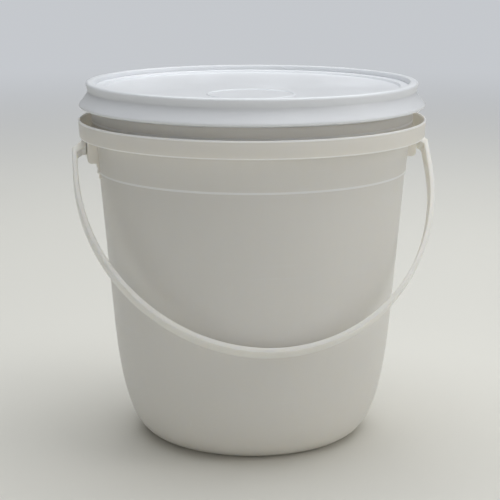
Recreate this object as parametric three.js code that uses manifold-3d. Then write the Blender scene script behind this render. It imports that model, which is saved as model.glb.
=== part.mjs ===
// A five litre plastic pail with a press-on lid and a plastic bail handle.
// Millimetres, +Z up. The origin is the middle of the ring that the pail stands on.
// The handle hangs forward, towards -Y, and rests on the front of the wall. The ears are at +X and -X.

import * as THREE from "three";
import { mergeVertices } from "three/addons/utils/BufferGeometryUtils.js";
import Module from "manifold-3d";

// Driving dimensions

// clearance between two pieces that fit together
const fitGap = 0.3;

// pail body
const pailHeight = 230.6;
const neckRadius = 104;
const neckThickness = 1.7;
const wallThickness = 1.4;
const wallTaper = 0.081;
const wallBelowNeck = 4.4;
const heelHeight = 76;
const heelWidth = 21.6;
const footWidth = 6;
const footHeight = 1.5;
const floorThickness = 1.8;
const stepDrop = 22.4;
const stepOut = 0.7;
const rimRound = 0.7;

// bead that the lid snaps over
const beadDrop = 12.2;
const beadOut = 1.1;
const beadHalf = 1.8;

// collar, a gutter around the pail that is open above
const collarDrop = 21.6;
const collarHeight = 11.4;
const collarReach = 8.5;
const collarTaper = 0.8;
const collarSkirt = 1.4;
const collarFloor = 1.7;
const collarEdgeRound = 0.8;

// ears
const earInset = 5;
const earHalfWidth = 11;
const earPlate = 2.2;
const earWeb = 1.8;
const earHeight = 15.6;
const earCornerRadius = 2.6;
const earFootReach = 2.2;
const ribOut = 0.9;
const ribInset = 5.8;
const pivotDrop = 6.6;

// lid
const lidThickness = 1.5;
const lidRoof = 1.9;
const lidHeight = 17.2;
const rimSide = 2.8;
const rimWidth = 5.4;
const rimOuterRound = 1.7;
const rimInnerRound = 0.85;
const rimLean = 1;
const ledgeDepth = 3;
const ledgeWidth = 5.6;
const panelDepth = 4.5;
const waistSide = 1.6;
const waistDrop = 5.6;
const flareReach = 7.3;
const flareDrop = 14.7;
const flareRound = 1.3;
const lipThickness = 1.3;
const plugDepth = 10.2;
const plugThickness = 1.5;
const plugChamfer = 0.75;

// raised ring and two thumb dips moulded in the lid's panel, and how far the lid is turned
// from the ears
const ringRadius = 27.5;
const ringReach = 43;
const ringWidth = 1.6;
const ringHeight = 0.5;
const dipReach = 61;
const dipHalfWidth = 12;
const dipHalfLength = 20;
const dipDepth = 0.5;
const lidTurn = 10;

// bail handle
const strapThickness = 3.2;
const strapWidth = 9.6;
const strapEdgeRound = 0.6;
const bailClearance = 1.3;
const bailLength = 151;
const legLength = 20;
const jogStart = 1.5;
const shoulderClearance = 1.6;
const pinRadius = 2.5;
const pinHeadOut = 0.8;
const pinHeadLength = 2;

// Number of straight steps in the round forms
const turnSteps = 72;
const heelSteps = 10;
const flareSteps = 5;
const curlSteps = 4;
const edgeSteps = 2;
const cornerSteps = 5;
const ringSteps = 24;
const dipSteps = 16;
const holeSteps = 24;
const tabSteps = 32;
const bailSteps = 36;

// Colours and gloss of the mouldings
const pailWhite = 0xe9e8e2;
const lidWhite = 0xf1f3f7;
const handleWhite = 0xefeeea;
const pailRoughness = 0.45;
const lidRoughness = 0.4;

// Shared tools

const quarterTurn = Math.PI / 2;
const mergeDistance = 1e-4;
const wasm = await Module();
wasm.setup();

function toSolid(geometry) {
  const bare = geometry.index ? geometry.toNonIndexed() : geometry.clone();
  bare.deleteAttribute("normal");
  bare.deleteAttribute("uv");
  const merged = mergeVertices(bare, mergeDistance);
  return new wasm.Manifold(new wasm.Mesh({
    numProp: 3,
    vertProperties: new Float32Array(merged.attributes.position.array),
    triVerts: new Uint32Array(merged.index.array),
  }));
}

function toGeometry(solid) {
  const mesh = solid.getMesh();
  const geometry = new THREE.BufferGeometry();
  geometry.setAttribute("position", new THREE.BufferAttribute(mesh.vertProperties, 3));
  geometry.setIndex(new THREE.BufferAttribute(mesh.triVerts, 1));
  geometry.computeVertexNormals();
  return geometry;
}

function placed(geometry, matrix) {
  return toSolid(geometry.clone().applyMatrix4(matrix));
}

// Points of an arc in a profile, from one angle to another, in degrees.
function arc(centreRadius, centreHeight, radius, from, to, steps) {
  const points = [];
  for (let i = 0; i <= steps; i += 1) {
    const angle = THREE.MathUtils.degToRad(from + (to - from) * i / steps);
    points.push([centreRadius + radius * Math.cos(angle), centreHeight + radius * Math.sin(angle)]);
  }
  return points;
}

// Points of a curve through three control points, the first one left out.
function bend(start, control, end, steps) {
  const curve = new THREE.QuadraticBezierCurve(
    new THREE.Vector2(...start), new THREE.Vector2(...control), new THREE.Vector2(...end));
  return curve.getPoints(steps).slice(1).map((point) => [point.x, point.y]);
}

// A closed profile of [radius, height] points turned about Z.
function turned(profile) {
  const points = profile.map(([radius, height]) => new THREE.Vector2(radius, height));
  const geometry = new THREE.LatheGeometry(points, turnSteps);
  geometry.rotateX(quarterTurn);
  return geometry;
}

function named(name, geometry, colour, roughness) {
  const material = new THREE.MeshStandardMaterial({ color: colour, roughness, metalness: 0 });
  const mesh = new THREE.Mesh(geometry, material);
  mesh.name = name;
  return mesh;
}

// Pail: one moulding with a rounded heel, a standing ring, a step under the collar, the gutter
// collar, the neck with its snap bead, and two ears

const collarTop = pailHeight - collarDrop;
const collarBottom = collarTop - collarHeight;
const collarTopRadius = neckRadius + collarReach;
const collarBottomRadius = collarTopRadius - collarTaper;
const collarFloorTop = collarBottom + collarFloor;
const skirtInner = collarBottomRadius - collarSkirt;
const stepHeight = collarBottom - stepDrop;
const floorTop = footHeight + floorThickness;
const neckInner = neckRadius - neckThickness;
const beadHeight = pailHeight - beadDrop;
const pivotHeight = collarBottom - pivotDrop;

function wallRadius(height) {
  return neckRadius - wallBelowNeck - wallTaper * (stepHeight - height);
}

function wallInside(height) {
  return wallRadius(height) - wallThickness;
}

const footOuter = wallRadius(0) - heelWidth;
const footInner = footOuter - footWidth;
const heelTop = [wallRadius(heelHeight), heelHeight];
const heelTopInside = [wallInside(heelHeight), heelHeight];
const shoulderRadius = wallRadius(collarBottom) + stepOut;

// The inside of the wall, from the mouth down to the top of the heel.
const insideLine = [
  [neckInner, collarFloorTop],
  [shoulderRadius - wallThickness, collarBottom - collarFloor],
  [wallInside(stepHeight) + stepOut, stepHeight],
  [wallInside(stepHeight), stepHeight - stepOut],
  heelTopInside,
];

const pailProfile = [
  [0, footHeight],
  [footInner - footHeight, footHeight],
  [footInner, 0],
  [footOuter, 0],
  ...bend([footOuter, 0], [wallRadius(0), 0], heelTop, heelSteps),
  [wallRadius(stepHeight), stepHeight],
  [wallRadius(stepHeight) + stepOut, stepHeight + stepOut],
  [shoulderRadius, collarBottom],
  ...arc(collarBottomRadius - collarEdgeRound, collarBottom + collarEdgeRound, collarEdgeRound,
    -90, 0, edgeSteps),
  ...arc(collarTopRadius - collarSkirt / 2, collarTop - collarSkirt / 2, collarSkirt / 2,
    0, 180, curlSteps),
  [skirtInner, collarFloorTop + collarEdgeRound],
  [skirtInner - collarEdgeRound, collarFloorTop],
  [neckRadius, collarFloorTop],
  [neckRadius, beadHeight - beadHalf],
  [neckRadius + beadOut, beadHeight],
  [neckRadius, beadHeight + beadHalf],
  ...arc(neckRadius - rimRound, pailHeight - rimRound, rimRound, 0, 90, edgeSteps),
  ...arc(neckInner + rimRound, pailHeight - rimRound, rimRound, 90, 180, edgeSteps),
  ...insideLine,
  ...bend(heelTopInside, [wallInside(0), floorTop], [footOuter, floorTop], heelSteps),
  [0, floorTop],
];

const earOuter = collarTopRadius - earInset;
const earBottom = collarBottom - earHeight;
const earTop = collarBottom + collarFloor / 2;

// The side outline of an ear, from inside the wall outwards, drawn up to a given distance from the axis.
// Below the ear it runs down the wall to the step as a gusset.
function earOutline(outer, cornerRadius) {
  const rootRadius = wallRadius(earBottom) - wallThickness / 2;
  const root = Math.sqrt(rootRadius ** 2 - (earHalfWidth + ribOut) ** 2) - stepOut;
  const outline = new THREE.Shape();
  outline.moveTo(root, earTop);
  outline.lineTo(root, stepHeight);
  outline.lineTo(wallRadius(stepHeight), stepHeight);
  outline.lineTo(wallRadius(stepHeight) + earFootReach, earBottom);
  outline.absarc(outer - cornerRadius, earBottom + cornerRadius, cornerRadius, -quarterTurn, 0);
  outline.lineTo(outer, earTop);
  outline.closePath();
  return outline;
}

// An upright slab with that outline, across the ear by its half width.
function earSlab(outline, halfWidth) {
  const slab = new THREE.ExtrudeGeometry(outline, {
    depth: 2 * halfWidth,
    bevelEnabled: false,
    curveSegments: cornerSteps,
  });
  return placed(slab, new THREE.Matrix4().makeRotationX(quarterTurn).setPosition(0, halfWidth, 0));
}

// An ear is an outer plate with the pivot hole and two webs that carry it off the wall. The webs are
// thicker where they meet the wall, and the pocket between them is open below.
function earSolid() {
  const slab = earSlab(earOutline(earOuter, earCornerRadius), earHalfWidth);
  const rib = earSlab(earOutline(earOuter - ribInset, 0), earHalfWidth + ribOut);
  const pocketReach = earOuter - earPlate;
  const pocketHeight = 2 * (earTop - stepHeight);
  const pocket = new THREE.BoxGeometry(pocketReach, 2 * (earHalfWidth - earWeb), pocketHeight);
  const pocketPlace = new THREE.Matrix4().makeTranslation(pocketReach / 2, 0, stepHeight);
  const hole = new THREE.CylinderGeometry(pinRadius + fitGap, pinRadius + fitGap, 2 * earInset, holeSteps);
  const holePlace = new THREE.Matrix4().makeRotationZ(quarterTurn).setPosition(earOuter, 0, pivotHeight);
  return slab.add(rib).subtract(placed(pocket, pocketPlace)).subtract(placed(hole, holePlace));
}

function pailGeometry() {
  const cavity = toSolid(turned([[0, heelHeight], ...insideLine.toReversed(), [0, collarFloorTop]]));
  const ear = earSolid().subtract(cavity);
  const otherEar = ear.rotate([0, 0, 180]);
  return toGeometry(toSolid(turned(pailProfile)).add(ear).add(otherEar));
}

// Lid: one moulding with a recessed panel, a ledge, a rim channel that caps the pail's rim, a plug
// wall inside the mouth, and a flared skirt whose lip turns back under the snap bead

const channelRoof = pailHeight + fitGap;
const channelOuter = neckRadius + fitGap;
const lidTop = channelRoof + lidRoof;
const rimOuter = channelOuter + rimSide;
const rimInner = rimOuter - rimWidth;
const ledgeInner = rimInner - ledgeWidth;
const ledgeTop = lidTop - ledgeDepth;
const panelTop = lidTop - panelDepth;
const riser = panelDepth - ledgeDepth;
const plugOuter = neckInner - fitGap;
const plugInner = plugOuter - plugThickness;
const plugBottom = channelRoof - plugDepth;
const waistRadius = channelOuter + waistSide;
const waistHeight = lidTop - waistDrop;
const flareRadius = channelOuter + flareReach;
const flareHeight = lidTop - flareDrop;
const flareInner = flareRadius - flareRound - lidThickness;
const lipInner = neckRadius + beadOut + fitGap;
const lipBottom = lidTop - lidHeight;

// the rounded edge of the flare turns from the lip's underside up to the sloping face
const flareEdge = arc(flareRadius - flareRound, flareHeight, flareRound, -70, 30, curlSteps);

const lidProfile = [
  [0, panelTop - lidThickness],
  [ledgeInner, panelTop - lidThickness],
  [ledgeInner + riser, ledgeTop - lidThickness],
  [plugInner - riser, ledgeTop - lidThickness],
  [plugInner, ledgeTop - lidThickness - riser],
  [plugInner, plugBottom],
  [plugOuter - plugChamfer, plugBottom],
  [plugOuter, plugBottom + 2 * plugChamfer],
  [plugOuter, channelRoof],
  [channelOuter, channelRoof],
  [channelOuter, waistHeight - lidThickness],
  [flareInner, flareHeight + flareRound],
  [flareInner, lipBottom + 2 * lipThickness],
  [lipInner, lipBottom + lipThickness],
  [lipInner, lipBottom],
  ...flareEdge,
  ...bend(flareEdge.at(-1), [waistRadius, waistHeight - lidThickness],
    [waistRadius, waistHeight], flareSteps),
  ...arc(rimOuter - rimOuterRound, lidTop - rimOuterRound, rimOuterRound, 0, 90, curlSteps),
  ...arc(rimInner + rimInnerRound, lidTop - rimInnerRound, rimInnerRound, 90, 150, edgeSteps),
  [rimInner - rimLean, ledgeTop],
  [ledgeInner, ledgeTop],
  [ledgeInner - riser, panelTop],
  [0, panelTop],
];

// A slab with that outline, from one height to another, at a place on the lid's panel.
function panelSlab(outline, x, y, bottom, top, steps) {
  const slab = new THREE.ExtrudeGeometry(outline, {
    depth: top - bottom,
    bevelEnabled: false,
    curveSegments: steps,
  });
  return placed(slab, new THREE.Matrix4().makeTranslation(x, y, bottom));
}

function lidGeometry() {
  const ringOutline = new THREE.Shape();
  ringOutline.absarc(0, 0, ringRadius, 0, 2 * Math.PI);
  const ringHole = new THREE.Path();
  ringHole.absarc(0, 0, ringRadius - ringWidth, 0, 2 * Math.PI, true);
  ringOutline.holes.push(ringHole);
  const dipOutline = new THREE.Shape();
  dipOutline.absellipse(0, 0, dipHalfWidth, dipHalfLength, 0, 2 * Math.PI);
  const ring = panelSlab(ringOutline, 0, -ringReach, panelTop - lidThickness / 2,
    panelTop + ringHeight, ringSteps);
  let solid = toSolid(turned(lidProfile)).add(ring);
  for (const side of [-1, 1]) {
    const dip = panelSlab(dipOutline, side * dipReach, 0, panelTop - dipDepth, lidTop, dipSteps);
    solid = solid.subtract(dip);
  }
  return toGeometry(solid);
}

// Bail handle: a flat strap bent in one plane. Each end jogs inwards to a round tab that carries a
// pin with a snap head, behind the ear's plate. The strap's inside clears the collar when it is raised

const tabInner = earOuter + fitGap;
const tabOuter = tabInner + strapThickness;
const bailInner = collarTopRadius + bailClearance;
const bailOuter = bailInner + strapThickness;
const innerShoulder = pivotDrop - shoulderClearance;
const jogAngle = Math.atan2(bailInner - tabInner, innerShoulder - jogStart);
const jogShift = strapThickness * Math.tan(jogAngle / 2);

// The strap's outline in the plane of the bail: x runs from ear to ear, and y runs up from the bottom
// of the bail to the pivot axis at y = 0.
function bailOutline() {
  const bow = (halfWidth, length) => new THREE.EllipseCurve(
    0, -legLength, halfWidth, length - legLength, 0, -Math.PI, true).getPoints(bailSteps);
  const outerEnd = [
    [tabInner, 0],
    [tabOuter, jogShift - jogStart],
    [bailOuter, jogShift - innerShoulder],
  ];
  const innerEnd = [
    [bailInner, -innerShoulder],
    [tabInner, -jogStart],
  ];
  const right = ([x, y]) => new THREE.Vector2(x, y);
  const left = ([x, y]) => new THREE.Vector2(-x, y);
  return new THREE.Shape([
    ...outerEnd.map(right),
    ...bow(bailOuter, bailLength),
    ...outerEnd.toReversed().map(left),
    ...innerEnd.toReversed().map(left),
    ...bow(bailInner, bailLength - strapThickness).reverse(),
    ...innerEnd.map(right),
  ]);
}

// The angle from straight down at which one edge of the bail's bottom meets the front of the wall.
function contactAngle(edge) {
  const reach = bailLength - strapThickness;
  const forward = reach - wallTaper * edge;
  const upward = edge + wallTaper * reach;
  const needed = wallRadius(pivotHeight) + fitGap;
  return Math.asin(needed / Math.hypot(forward, upward)) - Math.atan2(upward, forward);
}

function handleGeometry() {
  const strap = new THREE.ExtrudeGeometry(bailOutline(), {
    depth: strapWidth - 2 * strapEdgeRound,
    bevelEnabled: true,
    bevelSegments: 1,
    bevelThickness: strapEdgeRound,
    bevelSize: strapEdgeRound,
    bevelOffset: -strapEdgeRound,
  });
  const centred = new THREE.Matrix4().makeTranslation(0, 0, strapEdgeRound - strapWidth / 2);
  const headOuter = earOuter - earPlate - fitGap;
  const headInner = headOuter - pinHeadLength;
  const tabMiddle = (tabInner + tabOuter) / 2;
  let solid = placed(strap, centred);
  for (const side of [-1, 1]) {
    const along = new THREE.Matrix4().makeRotationZ(-side * quarterTurn);
    const endPiece = (fromRadius, toRadius, from, to, steps) => {
      const round = new THREE.CylinderGeometry(toRadius, fromRadius, to - from, steps);
      return placed(round, along.clone().setPosition(side * (from + to) / 2, 0, 0));
    };
    solid = solid
      .add(endPiece(strapWidth / 2, strapWidth / 2, tabInner, tabOuter, tabSteps))
      .add(endPiece(pinRadius, pinRadius, headInner, tabMiddle, holeSteps))
      .add(endPiece(pinRadius, pinRadius + pinHeadOut, headInner, headOuter, holeSteps));
  }
  return toGeometry(solid);
}

const handle = named("bail_handle", handleGeometry(), handleWhite, lidRoughness);
handle.rotation.x = quarterTurn;

const bail = new THREE.Group();
bail.add(handle);
bail.rotation.x = -Math.max(contactAngle(-strapWidth / 2), contactAngle(strapWidth / 2));
bail.position.z = pivotHeight;

const lid = named("lid", lidGeometry(), lidWhite, lidRoughness);
lid.rotation.z = -THREE.MathUtils.degToRad(lidTurn);

const group = new THREE.Group();
group.add(named("pail", pailGeometry(), pailWhite, pailRoughness));
group.add(lid);
group.add(bail);

export default group;
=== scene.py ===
import math

import bpy
from mathutils import Matrix, Vector


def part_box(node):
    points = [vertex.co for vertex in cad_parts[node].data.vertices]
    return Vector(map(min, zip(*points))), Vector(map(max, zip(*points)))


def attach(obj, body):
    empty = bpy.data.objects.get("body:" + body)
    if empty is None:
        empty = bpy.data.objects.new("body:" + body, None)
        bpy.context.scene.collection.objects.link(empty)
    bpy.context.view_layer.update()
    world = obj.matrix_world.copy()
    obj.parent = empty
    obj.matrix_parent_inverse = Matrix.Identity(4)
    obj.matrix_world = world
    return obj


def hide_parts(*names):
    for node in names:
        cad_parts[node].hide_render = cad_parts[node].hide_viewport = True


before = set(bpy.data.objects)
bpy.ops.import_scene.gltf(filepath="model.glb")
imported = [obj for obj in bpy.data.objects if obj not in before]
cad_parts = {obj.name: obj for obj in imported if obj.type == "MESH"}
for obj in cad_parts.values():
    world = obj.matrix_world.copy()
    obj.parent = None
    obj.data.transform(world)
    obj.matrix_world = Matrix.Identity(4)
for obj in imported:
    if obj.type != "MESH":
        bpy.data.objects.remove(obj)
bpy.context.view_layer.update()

# Pail. One injection moulding in warm white polypropylene, slightly translucent, with a rounded heel on
# a standing ring. A step, an open gutter collar and a neck with a snap bead ring the top of the wall.
pail_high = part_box("pail")[1]
pail_height = pail_high.z
collar_radius = pail_high.x
neck_radius = collar_radius - 0.0085
neck_thickness = 0.0017
wall_thickness = 0.0014
wall_taper = 0.081
wall_below_neck = 0.0044
heel_height = 0.076
heel_width = 0.0216
foot_width = 0.006
foot_height = 0.0015
foot_round = 0.0005
floor_thickness = 0.0018
rim_round = 0.0007
bead_height = pail_height - 0.0122
bead_out = 0.0011
bead_half = 0.0018
collar_top = pail_height - 0.0216
collar_bottom = collar_top - 0.0114
collar_taper = 0.0008
collar_skirt = 0.0014
collar_floor = 0.0017
collar_round = 0.0008
gutter_round = 0.0015
step_height = collar_bottom - 0.0224
step_out = 0.0007
step_round = 0.0004
gate_radius = 0.0045
gate_depth = 0.0004
spin_steps = 288


def wall_radius(height):
    return neck_radius - wall_below_neck - wall_taper * (step_height - height)


def arc(centre_radius, centre_height, radius, start, end, steps):
    """Points of an arc from one angle to another, in degrees."""
    angles = [math.radians(start + (end - start) * i / steps) for i in range(steps + 1)]
    return [(centre_radius + radius * math.cos(angle), centre_height + radius * math.sin(angle))
            for angle in angles]


def bend(start, control, end, steps):
    """Points of a curve that leaves start towards control and reaches end from it."""
    points = []
    for i in range(1, steps + 1):
        share = i / steps
        weights = ((1 - share) ** 2, 2 * share * (1 - share), share * share)
        points.append(tuple(weights[0] * start[axis] + weights[1] * control[axis] + weights[2] * end[axis]
                            for axis in (0, 1)))
    return points


def draw_line(name, points):
    """A new mesh open in edit mode: one vertex extruded through points (x, z) in the y = 0 plane."""
    bpy.ops.object.select_all(action="DESELECT")
    bpy.ops.mesh.primitive_plane_add(size=0.001, location=(points[0][0], 0, points[0][1]))
    made = bpy.context.object
    made.name = name
    bpy.ops.object.mode_set(mode="EDIT")
    bpy.ops.mesh.merge(type="CENTER")
    for (x0, z0), (x1, z1) in zip(points, points[1:]):
        bpy.ops.mesh.extrude_region_move(TRANSFORM_OT_translate={"value": (x1 - x0, 0, z1 - z0)})
    bpy.ops.mesh.select_all(action="SELECT")
    return made


def pick(piece):
    """Makes a piece the only selected one and the active one."""
    bpy.ops.object.select_all(action="DESELECT")
    bpy.context.view_layer.objects.active = piece
    piece.select_set(True)


def round_edges(piece, width, angle):
    """Rounds the active piece's edges whose faces meet at more than an angle, in degrees."""
    bevel = piece.modifiers.new("rounded", "BEVEL")
    bevel.width = width
    bevel.segments = 3
    bevel.limit_method = "ANGLE"
    bevel.angle_limit = math.radians(angle)
    bpy.ops.object.modifier_apply(modifier=bevel.name)


def settle(made):
    """Leaves edit mode with the piece's place in its mesh and its faces outwards."""
    bpy.ops.mesh.remove_doubles(threshold=1e-6)
    bpy.ops.mesh.select_all(action="SELECT")
    bpy.ops.mesh.normals_make_consistent(inside=False)
    bpy.ops.object.mode_set(mode="OBJECT")
    bpy.ops.object.transform_apply(location=True, rotation=True, scale=True)
    return made


def turned(name, points, steps=spin_steps):
    """A profile of (radius, height) points spun about the pail's axis."""
    made = draw_line(name, points)
    bpy.ops.mesh.spin(steps=steps, angle=2 * math.pi, center=(0, 0, 0), axis=(0, 0, 1))
    bpy.ops.mesh.select_all(action="SELECT")
    return settle(made)


def slab(name, outline, half_width, edge):
    """A closed outline of (x, z) points, extruded to both sides of y = 0, with its edges rounded."""
    made = draw_line(name, outline)
    bpy.ops.mesh.edge_face_add()
    bpy.ops.transform.translate(value=(0, -half_width, 0))
    bpy.ops.mesh.extrude_region_move(TRANSFORM_OT_translate={"value": (0, 2 * half_width, 0)})
    bpy.ops.mesh.select_all(action="SELECT")
    settle(made)
    round_edges(made, edge, 35)
    return made


def combine(body, tool, operation):
    """Joins tool to body, or cuts it out of body, and removes tool."""
    pick(body)
    boolean = body.modifiers.new("boolean", "BOOLEAN")
    boolean.operation = operation
    boolean.solver = "EXACT"
    boolean.object = tool
    bpy.ops.object.modifier_apply(modifier=boolean.name)
    bpy.data.objects.remove(tool)


foot_outer = wall_radius(0) - heel_width
foot_inner = foot_outer - foot_width
floor_top = foot_height + floor_thickness
heel_top = (wall_radius(heel_height), heel_height)
heel_top_inside = (heel_top[0] - wall_thickness, heel_height)
neck_inner = neck_radius - neck_thickness
collar_floor_top = collar_bottom + collar_floor
collar_bottom_radius = collar_radius - collar_taper
skirt_inner = collar_bottom_radius - collar_skirt
shoulder = wall_radius(collar_bottom) + step_out

pail_profile = [
    (0, foot_height + gate_depth),
    (gate_radius - gate_depth, foot_height + gate_depth),
    (gate_radius, foot_height),
    (foot_inner - foot_height, foot_height),
    *arc(foot_inner + foot_round, foot_round, foot_round, 200, 270, 4),
    *arc(foot_outer - foot_round, foot_round, foot_round, 270, 290, 2),
    *bend((foot_outer, 0), (wall_radius(0), 0), heel_top, 40)[1:],
    (wall_radius(step_height), step_height),
    *arc(wall_radius(step_height) + step_out - step_round, step_height + step_round, step_round,
         -60, 0, 3),
    (shoulder, collar_bottom - step_round),
    *arc(collar_bottom_radius - collar_round, collar_bottom + collar_round, collar_round, -90, -4, 6),
    *arc(collar_radius - collar_skirt / 2, collar_top - collar_skirt / 2, collar_skirt / 2, 0, 180, 12),
    *arc(skirt_inner - gutter_round, collar_floor_top + gutter_round, gutter_round, 0, -90, 5),
    *arc(neck_radius + gutter_round / 2, collar_floor_top + gutter_round / 2, gutter_round / 2,
         270, 180, 4),
    (neck_radius, bead_height - bead_half),
    *arc(neck_radius - bead_out, bead_height, 2 * bead_out, -50, 50, 8),
    (neck_radius, bead_height + bead_half),
    *arc(neck_radius - rim_round, pail_height - rim_round, rim_round, 0, 90, 5),
    *arc(neck_inner + rim_round, pail_height - rim_round, rim_round, 90, 180, 5),
    (neck_inner, collar_floor_top),
    (shoulder - wall_thickness, collar_bottom - collar_floor),
    (wall_radius(step_height) + step_out - wall_thickness, step_height),
    (wall_radius(step_height) - wall_thickness, step_height - step_out),
    heel_top_inside,
    *bend(heel_top_inside, (wall_radius(0) - wall_thickness, floor_top), (foot_outer, floor_top), 32),
    (0, floor_top),
]
pail = turned("pail_moulding", pail_profile)

# Ears. They are moulded with the pail: an outer plate with the pivot hole, on two webs that thicken
# where they meet the wall and run down as gussets to a small nib under the step. The pocket between
# the webs is open below.
ear_outer = collar_radius - 0.005
ear_half_width = 0.011
ear_plate = 0.0022
ear_web = 0.0018
ear_bottom = collar_bottom - 0.0156
ear_top = collar_bottom + collar_floor / 2
ear_corner = 0.0026
ear_foot_reach = 0.0022
ear_edge = 0.00035
rib_out = 0.0009
rib_inset = 0.0058
rib_corner = 2 * ear_edge
nib_height = 0.003
nib_out = 0.0008
pivot_height = collar_bottom - 0.0066
pin_hole = 0.0028
hole_sides = 64


def ear_root(outside):
    """How far out an ear's root lies, a third of the wall's thickness under the wall's outside."""
    return math.sqrt((outside - wall_thickness / 3) ** 2 - ear_half_width ** 2)


def ear_outline(outer, corner):
    """Side outline of an ear, drawn from the wall to a given distance from the axis."""
    foot = wall_radius(step_height)
    under_floor = collar_bottom - collar_floor
    under_step = step_height - step_out
    nib_bottom = step_height - nib_height
    return [
        (ear_root(neck_radius), ear_top),
        (ear_root(neck_radius), collar_bottom),
        (ear_root(wall_radius(under_floor) + step_out), under_floor),
        (ear_root(foot + step_out), step_height),
        (ear_root(wall_radius(under_step)), under_step),
        (ear_root(wall_radius(nib_bottom)), nib_bottom),
        (foot + nib_out, nib_bottom),
        (foot + nib_out, step_height),
        (foot + ear_foot_reach, ear_bottom),
        *arc(outer - corner, ear_bottom + corner, corner, -90, 0, 8),
        (outer, ear_top),
        (ear_root(neck_radius), ear_top),
    ]


def ear(side):
    """The ear at +X or -X, cut out ready to be joined to the pail."""
    made = slab("ear", ear_outline(ear_outer, ear_corner), ear_half_width, ear_edge)
    rib = slab("rib", ear_outline(ear_outer - rib_inset, rib_corner), ear_half_width + rib_out, ear_edge)
    combine(made, rib, "UNION")
    reach = ear_outer - ear_plate
    bottom = step_height - 2 * nib_height
    bpy.ops.mesh.primitive_cube_add(size=1, location=(reach / 2, 0, (bottom + ear_top) / 2),
                                    scale=(reach, 2 * (ear_half_width - ear_web), ear_top - bottom))
    combine(made, bpy.context.object, "DIFFERENCE")
    bpy.ops.mesh.primitive_cylinder_add(vertices=hole_sides, radius=pin_hole, depth=4 * ear_plate,
                                        location=(ear_outer, 0, pivot_height),
                                        rotation=(0, math.pi / 2, 0))
    combine(made, bpy.context.object, "DIFFERENCE")
    made.data.transform(Matrix.Rotation(0 if side > 0 else math.pi, 4, "Z"))
    return made


for side in (1, -1):
    combine(pail, ear(side), "UNION")

# Finish of the pail. Warm white polypropylene lets a little light into its wall. Thin bands at the step
# and at the collar's lower and upper edges get a lighter colour, a painted highlight for light caught on
# those edges. The moulding leaves faint streaks up the wall and a fine grain, and use leaves rubbed
# patches and hairline scuffs.


class Wire:
    """An output of a shader node. Arithmetic on wires and numbers adds Math nodes."""

    def __init__(self, tree, socket=None):
        self.tree = tree
        self.socket = socket

    def node(self, kind, settings, inputs, output=0):
        made = self.tree.nodes.new("ShaderNode" + kind)
        for name, value in settings.items():
            setattr(made, name, value)
        for name, value in inputs.items():
            if isinstance(value, Wire):
                self.tree.links.new(value.socket, made.inputs[name])
            else:
                made.inputs[name].default_value = value
        return Wire(self.tree, made.outputs[output] if made.outputs else None)

    def maths(self, operation, *terms):
        return self.node("Math", {"operation": operation}, dict(enumerate(terms)))

    def __add__(self, other):
        return self.maths("ADD", self, other)

    def __sub__(self, other):
        return self.maths("SUBTRACT", self, other)

    def __rsub__(self, other):
        return self.maths("SUBTRACT", other, self)

    def __mul__(self, other):
        return self.maths("MULTIPLY", self, other)

    __radd__ = __add__
    __rmul__ = __mul__


def new_finish(name):
    """A material with an empty tree, as a wire to build on."""
    finish = bpy.data.materials.new(name)
    finish.use_nodes = True
    finish.node_tree.nodes.clear()
    return finish, Wire(finish.node_tree)


def stretched(wire, scale):
    """The piece's own coordinates, multiplied by scale along X, Y and Z."""
    place = wire.node("TexCoord", {}, {}, "Object")
    return wire.node("Mapping", {"vector_type": "POINT"}, {"Vector": place, "Scale": scale})


def grain(wire, scale, detail, roughness=0.5):
    """Noise from 0 to 1 on the piece's own coordinates, with features of about 1 / scale metres."""
    return wire.node("TexNoise", {"noise_dimensions": "3D"}, {
        "Vector": stretched(wire, scale), "Scale": 1.0, "Detail": detail, "Roughness": roughness})


def eased(wire, value, low, high):
    """Runs smoothly from 0 to 1 as value goes from low to high."""
    return wire.node("MapRange", {"interpolation_type": "SMOOTHSTEP"}, {
        "Value": value, "From Min": low, "From Max": high, "To Min": 0.0, "To Max": 1.0})


def tinted(wire, amount, plain, tint):
    """Colour plain, a wire or three numbers, going to colour tint as amount goes to 1."""
    start = plain if isinstance(plain, Wire) else (*plain, 1)
    return wire.node("Mix", {"data_type": "RGBA"}, {"Factor": amount, 6: start, 7: (*tint, 1)}, 2)


def plastic(wire, colour, gloss, normal, constants):
    """The plastic's own shader, joined to the output."""
    shader = wire.node("BsdfPrincipled", {}, {
        "Base Color": colour, "Roughness": gloss, "Normal": normal, **constants})
    wire.node("OutputMaterial", {}, {"Surface": shader})


def relief(wire, height, distance, under=None):
    """A bump of that height, over another bump if one is given."""
    inputs = {"Height": height, "Distance": distance, "Strength": 1.0}
    if under:
        inputs["Normal"] = under
    return wire.node("Bump", {}, inputs)


plastic_ior = 1.49
pail_finish, draw = new_finish("pail_polypropylene")
clouds = grain(draw, (9, 9, 7), 2.0)
streaks = grain(draw, (110, 110, 5), 2.0)
rubbed = eased(draw, grain(draw, (26, 26, 34), 4.0, 0.6), 0.48, 0.7)
hairlines = eased(draw, grain(draw, (14, 14, 900), 2.0), 0.63, 0.72) * rubbed
scratches = eased(draw, grain(draw, (620, 620, 16), 2.0), 0.66, 0.74) * rubbed
scuffs = draw.maths("MAXIMUM", hairlines, scratches)
moulded = tinted(draw, clouds * 0.7 + streaks * 0.3, (0.86, 0.828, 0.765), (0.815, 0.78, 0.71))
# Painted highlights: bands set by height at the step and at the collar's bottom and top get a lighter
# colour, standing in for light caught on those rounded edges. They are set by height alone, so they also
# run round the inside of the pail and across the ears.
step_highlight_width = 0.0012
collar_low_highlight_width = 0.0008
collar_high_highlight_width = 0.001
highlight_blur = 0.0003
step_highlight = (step_height, step_height + step_highlight_width)
collar_low_highlight = (collar_bottom, collar_bottom + collar_low_highlight_width)
collar_high_highlight = (collar_top - collar_high_highlight_width, collar_top)
height = draw.node("SeparateXYZ", {}, {"Vector": draw.node("TexCoord", {}, {}, "Object")}, "Z")
edges = 0.0
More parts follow.
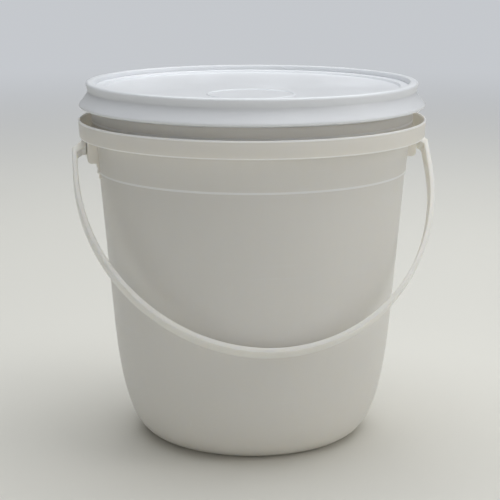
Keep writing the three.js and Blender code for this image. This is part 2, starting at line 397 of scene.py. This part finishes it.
for highlight_low, highlight_high in (step_highlight, collar_low_highlight, collar_high_highlight):
    edges = edges + (eased(draw, height, highlight_low - highlight_blur, highlight_low)
                     * (1.0 - eased(draw, height, highlight_high, highlight_high + highlight_blur)))
# The moulded colour with the painted edge highlights mixed in.
edge_highlighted = tinted(draw, edges, moulded, (0.99, 0.975, 0.94))
pail_colour = tinted(draw, scuffs * 0.4, edge_highlighted, (0.89, 0.88, 0.85))
pail_gloss = 0.36 + rubbed * 0.07 + scuffs * 0.12 + clouds * 0.05
waves = relief(draw, grain(draw, (34, 34, 12), 1.0), 0.0004)
matt = relief(draw, grain(draw, (1500, 1500, 1500), 2.0), 0.00003, waves)
pail_normal = relief(draw, 1.0 - scuffs, 0.00002, matt)
plastic(draw, pail_colour, pail_gloss, pail_normal, {
    "IOR": plastic_ior, "Subsurface Weight": 0.45, "Subsurface Radius": (0.006, 0.0054, 0.0044),
    "Subsurface Scale": 1.0})
smooth_angle = math.radians(32)


def finished(piece, finish, body, node):
    """Smooths a piece, gives it its finish and puts it in the place of its node."""
    pick(piece)
    bpy.ops.object.shade_smooth_by_angle(angle=smooth_angle)
    piece.data.materials.clear()
    piece.data.materials.append(finish)
    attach(piece, body)
    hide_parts(node)


finished(pail, pail_finish, "pail", "pail")

# Lid. One injection moulding in a cooler white, pressed on at a small angle to the ears. A channel caps
# the pail's rim, a plug wall goes inside the mouth, and the flared skirt's lip turns in under the bead.
lid_low, lid_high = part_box("lid")
fit_gap = 0.0003
lid_turn = math.radians(-10)
lid_top = lid_high.z
lid_thickness = 0.0015
channel_roof = pail_height + fit_gap
channel_outer = neck_radius + fit_gap
rim_outer = channel_outer + 0.0028
rim_inner = rim_outer - 0.0054
rim_outer_round = 0.0017
rim_inner_round = 0.00085
rim_lean = 0.001
ledge_inner = rim_inner - 0.0056
ledge_top = lid_top - 0.003
panel_top = lid_top - 0.0045
riser = ledge_top - panel_top
riser_round = 0.0006
plug_outer = neck_inner - fit_gap
plug_inner = plug_outer - 0.0015
plug_bottom = channel_roof - 0.0102
plug_chamfer = 0.00075
waist_radius = channel_outer + 0.0016
waist_height = lid_top - 0.0056
flare_radius = lid_high.x
flare_height = lid_top - 0.0147
flare_round = 0.0013
flare_inner = flare_radius - flare_round - lid_thickness
lip_thickness = 0.0013
lip_inner = neck_radius + bead_out + fit_gap
lip_bottom = lid_low.z
ring_radius = 0.0275
ring_reach = 0.043
ring_width = 0.0016
ring_height = 0.0005
dip_reach = 0.061
dip_half_width = 0.012
dip_half_length = 0.020
dip_depth = 0.0005

flare_edge = arc(flare_radius - flare_round, flare_height, flare_round, -70, 30, 10)
lid_profile = [
    (0, panel_top - lid_thickness),
    (ledge_inner, panel_top - lid_thickness),
    (ledge_inner + riser, ledge_top - lid_thickness),
    (plug_inner - riser, ledge_top - lid_thickness),
    (plug_inner, ledge_top - lid_thickness - riser),
    (plug_inner, plug_bottom + fit_gap),
    (plug_inner + fit_gap, plug_bottom),
    (plug_outer - plug_chamfer, plug_bottom),
    (plug_outer, plug_bottom + 2 * plug_chamfer),
    (plug_outer, channel_roof),
    (channel_outer, channel_roof),
    (channel_outer, waist_height - lid_thickness),
    (flare_inner, flare_height + flare_round),
    (flare_inner, lip_bottom + 2 * lip_thickness),
    (lip_inner, lip_bottom + lip_thickness),
    *arc(lip_inner + fit_gap, lip_bottom + fit_gap, fit_gap, 180, 270, 3),
    *flare_edge,
    *bend(flare_edge[-1], (waist_radius, waist_height - lid_thickness),
          (waist_radius, waist_height), 14),
    *arc(rim_outer - rim_outer_round, lid_top - rim_outer_round, rim_outer_round, 0, 90, 9),
    *arc(rim_inner + rim_inner_round, lid_top - rim_inner_round, rim_inner_round, 90, 150, 5),
    *arc(rim_inner - rim_lean + riser_round / 2, ledge_top + riser_round / 2, riser_round / 2,
         200, 270, 3),
    (ledge_inner + riser_round, ledge_top),
    *arc(ledge_inner, ledge_top - riser_round, riser_round, 90, 135, 3),
    *arc(ledge_inner - riser, panel_top + riser_round, riser_round, -45, -90, 3),
    (0, panel_top),
]
lid = turned("lid_moulding", lid_profile)

bpy.ops.object.select_all(action="DESELECT")
bpy.ops.mesh.primitive_torus_add(location=(0, -ring_reach, panel_top),
                                 major_segments=192, minor_segments=24,
                                 major_radius=ring_radius - ring_width / 2, minor_radius=ring_width / 2)
bpy.ops.transform.resize(value=(1, 1, 2 * ring_height / ring_width))
bpy.ops.object.transform_apply(location=True, rotation=True, scale=True)
combine(lid, bpy.context.object, "UNION")

dip_steps = 16
dip_sides = 96
dip_reach_out = 1.4
dip_shares = [dip_reach_out * i / dip_steps for i in range(dip_steps + 1)]
dip_bowl = [(dip_half_width * share, panel_top + dip_depth * (share ** 2 - 1)) for share in dip_shares]
for side in (-1, 1):
    bowl = turned("bowl", [*dip_bowl, (dip_bowl[-1][0], lid_top), (0, lid_top)], dip_sides)
    bowl.data.transform(Matrix.Diagonal((1, dip_half_length / dip_half_width, 1, 1)))
    bowl.data.transform(Matrix.Translation((side * dip_reach, 0, 0)))
    combine(lid, bowl, "DIFFERENCE")
lid.data.transform(Matrix.Rotation(lid_turn, 4, "Z"))

lid_finish, draw = new_finish("lid_polypropylene")
clouds = grain(draw, (12, 12, 12), 2.0)
rubbed = eased(draw, grain(draw, (38, 38, 38), 4.0, 0.6), 0.48, 0.7)
hairlines = eased(draw, grain(draw, (30, 700, 30), 2.0), 0.64, 0.73) * rubbed
scratches = eased(draw, grain(draw, (800, 40, 40), 2.0), 0.66, 0.74) * rubbed
scuffs = draw.maths("MAXIMUM", hairlines, scratches)
lid_colour = tinted(draw, clouds * 0.6 + scuffs * 0.4, (0.835, 0.86, 0.9), (0.805, 0.83, 0.875))
lid_gloss = 0.3 + rubbed * 0.07 + scuffs * 0.14
sink = relief(draw, grain(draw, (26, 26, 26), 1.0), 0.0003)
matt = relief(draw, grain(draw, (1700, 1700, 1700), 2.0), 0.00002, sink)
lid_normal = relief(draw, 1.0 - scuffs, 0.00002, matt)
plastic(draw, lid_colour, lid_gloss, lid_normal, {
    "IOR": plastic_ior, "Subsurface Weight": 0.35, "Subsurface Radius": (0.004, 0.004, 0.004),
    "Subsurface Scale": 1.0})
finished(lid, lid_finish, "lid", "lid")

# Bail handle. A flat strap moulded in white polypropylene and bent to hang in one plane. Each end jogs
# inwards to a round tab, whose pin snaps through the ear's plate and holds behind it by its head.
bail_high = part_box("bail_handle")[1]
strap_thickness = 0.0032
strap_width = 0.0096
strap_edge = 0.0006
bail_outer = bail_high.x
bail_inner = bail_outer - strap_thickness
bail_length = 0.151
leg_length = 0.020
elbow_top = 0.0036
elbow_inner = 0.0012
elbow_reach = 0.0016
outer_shoulder = 0.0024
inner_shoulder = 0.0058
tab_inner = ear_outer + fit_gap
tab_outer = tab_inner + strap_thickness
tab_edge = 0.0004
pin_radius = 0.0025
pin_head_out = 0.0008
pin_head_length = 0.002
bow_steps = 120
tab_sides = 96


def bow(half_width, length):
    """The bail's bow as (x, z) points from its right leg to its left one, the pivot axis at z = 0."""
    angles = [math.pi * i / bow_steps for i in range(bow_steps + 1)]
    return [(half_width * math.cos(angle), -leg_length - (length - leg_length) * math.sin(angle))
            for angle in angles]


def contact_angle(edge):
    """The angle from straight down at which one edge of the bail's bottom meets the wall."""
    reach = bail_length - strap_thickness
    forward = reach - wall_taper * edge
    upward = edge + wall_taper * reach
    needed = wall_radius(pivot_height) + fit_gap
    return math.asin(needed / math.hypot(forward, upward)) - math.atan2(upward, forward)


outer_end = [(tab_inner, elbow_top), (tab_inner + elbow_reach, elbow_top), (bail_outer, -outer_shoulder)]
inner_end = [(bail_inner, -inner_shoulder), (tab_inner, -elbow_inner), (tab_inner, elbow_top)]
bail = slab("bail_strap", [
    *outer_end,
    *bow(bail_outer, bail_length),
    *[(-x, z) for x, z in reversed(outer_end)],
    *[(-x, z) for x, z in reversed(inner_end[:-1])],
    *reversed(bow(bail_inner, bail_length - strap_thickness)),
    *inner_end,
], strap_width / 2, strap_edge)

head_outer = ear_outer - ear_plate - fit_gap
head_inner = head_outer - pin_head_length
for side in (-1, 1):
    for name, start, end, low_radius, high_radius, edge in (
            ("tab", tab_inner, tab_outer, strap_width / 2, strap_width / 2, tab_edge),
            ("pin", head_inner, (tab_inner + tab_outer) / 2, pin_radius, pin_radius, 0),
            ("head", head_inner, head_outer, pin_radius, pin_radius + pin_head_out, tab_edge / 2)):
        bpy.ops.object.select_all(action="DESELECT")
        bpy.ops.mesh.primitive_cone_add(vertices=tab_sides, radius1=low_radius, radius2=high_radius,
                                        depth=end - start, location=(side * (start + end) / 2, 0, 0),
                                        rotation=(0, side * math.pi / 2, 0))
        bpy.ops.object.transform_apply(location=True, rotation=True, scale=True)
        turned_piece = bpy.context.object
        turned_piece.name = name
        if edge:
            round_edges(turned_piece, edge, 30)
        combine(bail, turned_piece, "UNION")

rest_angle = max(contact_angle(-strap_width / 2), contact_angle(strap_width / 2))
bail.data.transform(Matrix.Translation((0, 0, pivot_height)) @ Matrix.Rotation(-rest_angle, 4, "X"))

handle_finish, draw = new_finish("handle_polypropylene")
clouds = grain(draw, (20, 20, 20), 2.0)
rubbed = eased(draw, grain(draw, (60, 60, 60), 4.0, 0.6), 0.45, 0.7)
scratches = eased(draw, grain(draw, (60, 900, 900), 2.0), 0.62, 0.72) * rubbed
handle_colour = tinted(draw, clouds * 0.6 + scratches * 0.4, (0.86, 0.852, 0.82), (0.815, 0.805, 0.765))
handle_gloss = 0.3 + rubbed * 0.1 + scratches * 0.12
matt = relief(draw, grain(draw, (1600, 1600, 1600), 2.0), 0.00002)
handle_normal = relief(draw, 1.0 - scratches, 0.00003, matt)
plastic(draw, handle_colour, handle_gloss, handle_normal, {
    "IOR": plastic_ior, "Subsurface Weight": 0.4, "Subsurface Radius": (0.005, 0.0045, 0.0035),
    "Subsurface Scale": 1.0})
finished(bail, handle_finish, "bail", "bail_handle")

# Stage. A pale floor sheet that curves up far behind the pail, and whose far part looks plain and pale
# to the camera.
sheet_width = 9.0
sheet_front = -2.5
sheet_back = 4.5
sheet_rise = 3.0
sheet_curve = 1.2
floor_line = [(sheet_front, 0), *arc(sheet_back - sheet_curve, sheet_curve, sheet_curve, -90, 0, 24),
              (sheet_back, sheet_rise)]
floor = draw_line("floor_sheet", floor_line)
bpy.ops.transform.translate(value=(0, -sheet_width / 2, 0))
bpy.ops.mesh.extrude_region_move(TRANSFORM_OT_translate={"value": (0, sheet_width, 0)})
bpy.ops.mesh.select_all(action="SELECT")
settle(floor)
floor.data.transform(Matrix.Rotation(math.pi / 2, 4, "Z"))
floor.data.flip_normals()
bpy.ops.object.shade_smooth()
floor_finish, draw = new_finish("pale_sheet")
paper = grain(draw, (3, 3, 3), 2.0)
sheet = draw.node("BsdfPrincipled", {}, {
    "Base Color": tinted(draw, paper, (0.72, 0.71, 0.66), (0.7, 0.69, 0.64)), "Roughness": 0.75,
    "Normal": relief(draw, grain(draw, (600, 600, 600), 2.0), 0.00004)})
haze = draw.node("Emission", {}, {"Color": (0.56, 0.58, 0.61, 1), "Strength": 1.0})
haze_start = 0.5
haze_full = 2.6
place = draw.node("TexCoord", {}, {}, "Object")
away = draw.node("VectorMath", {"operation": "LENGTH"}, {0: place}, "Value")
seen = draw.node("LightPath", {}, {}, "Is Camera Ray") * eased(draw, away, haze_start, haze_full)
surface = draw.node("MixShader", {}, {0: seen, 1: sheet, 2: haze})
draw.node("OutputMaterial", {}, {"Surface": surface})
floor.data.materials.append(floor_finish)

# Light. A wide soft box hangs above and a little behind the pail, a long one stands in front of it, and
# a smaller one stands at its right.


def soft_box(name, place, aim, size, watts, colour):
    lamp = bpy.data.lights.new(name, "AREA")
    lamp.shape = "RECTANGLE"
    lamp.size, lamp.size_y = size
    lamp.energy = watts
    lamp.color = colour
    box = bpy.data.objects.new(name, lamp)
    box.location = place
    box.rotation_euler = (Vector(aim) - Vector(place)).to_track_quat("-Z", "Y").to_euler()
    bpy.context.scene.collection.objects.link(box)


soft_box("top_box", (0.2, 0.35, 1.7), (0, 0.1, 0.1), (2.4, 2.4), 37, (0.97, 0.985, 1))
soft_box("front_box", (-0.3, -2.3, 0.55), (0, 0, 0.15), (2.4, 1.0), 7.5, (1, 0.98, 0.95))
soft_box("right_box", (1.5, -0.6, 0.9), (0, 0, 0.1), (0.9, 0.9), 5, (1, 0.98, 0.95))
world = bpy.data.worlds.new("room")
world.use_nodes = True
background = world.node_tree.nodes["Background"]
background.inputs["Color"].default_value = (0.96, 0.98, 1, 1)
background.inputs["Strength"].default_value = 0.17
bpy.context.scene.world = world
bpy.context.scene.view_settings.view_transform = "Standard"

# Camera. It stands in front and a little to the pail's left, a little higher than the lid, and looks
# slightly down.
camera_turn = math.radians(9)
camera_distance = 0.95
camera_height = 0.33015
camera_pitch = math.radians(12.478)
camera_data = bpy.data.cameras.new("camera")
camera_data.lens = 105.57
camera_data.sensor_width = 36
camera_data.shift_x = -0.00406
camera = bpy.data.objects.new("camera", camera_data)
camera.location = (-camera_distance * math.sin(camera_turn), -camera_distance * math.cos(camera_turn),
                   camera_height)
camera.rotation_euler = (math.pi / 2 - camera_pitch, 0, -camera_turn)
bpy.context.scene.collection.objects.link(camera)
bpy.context.scene.camera = camera
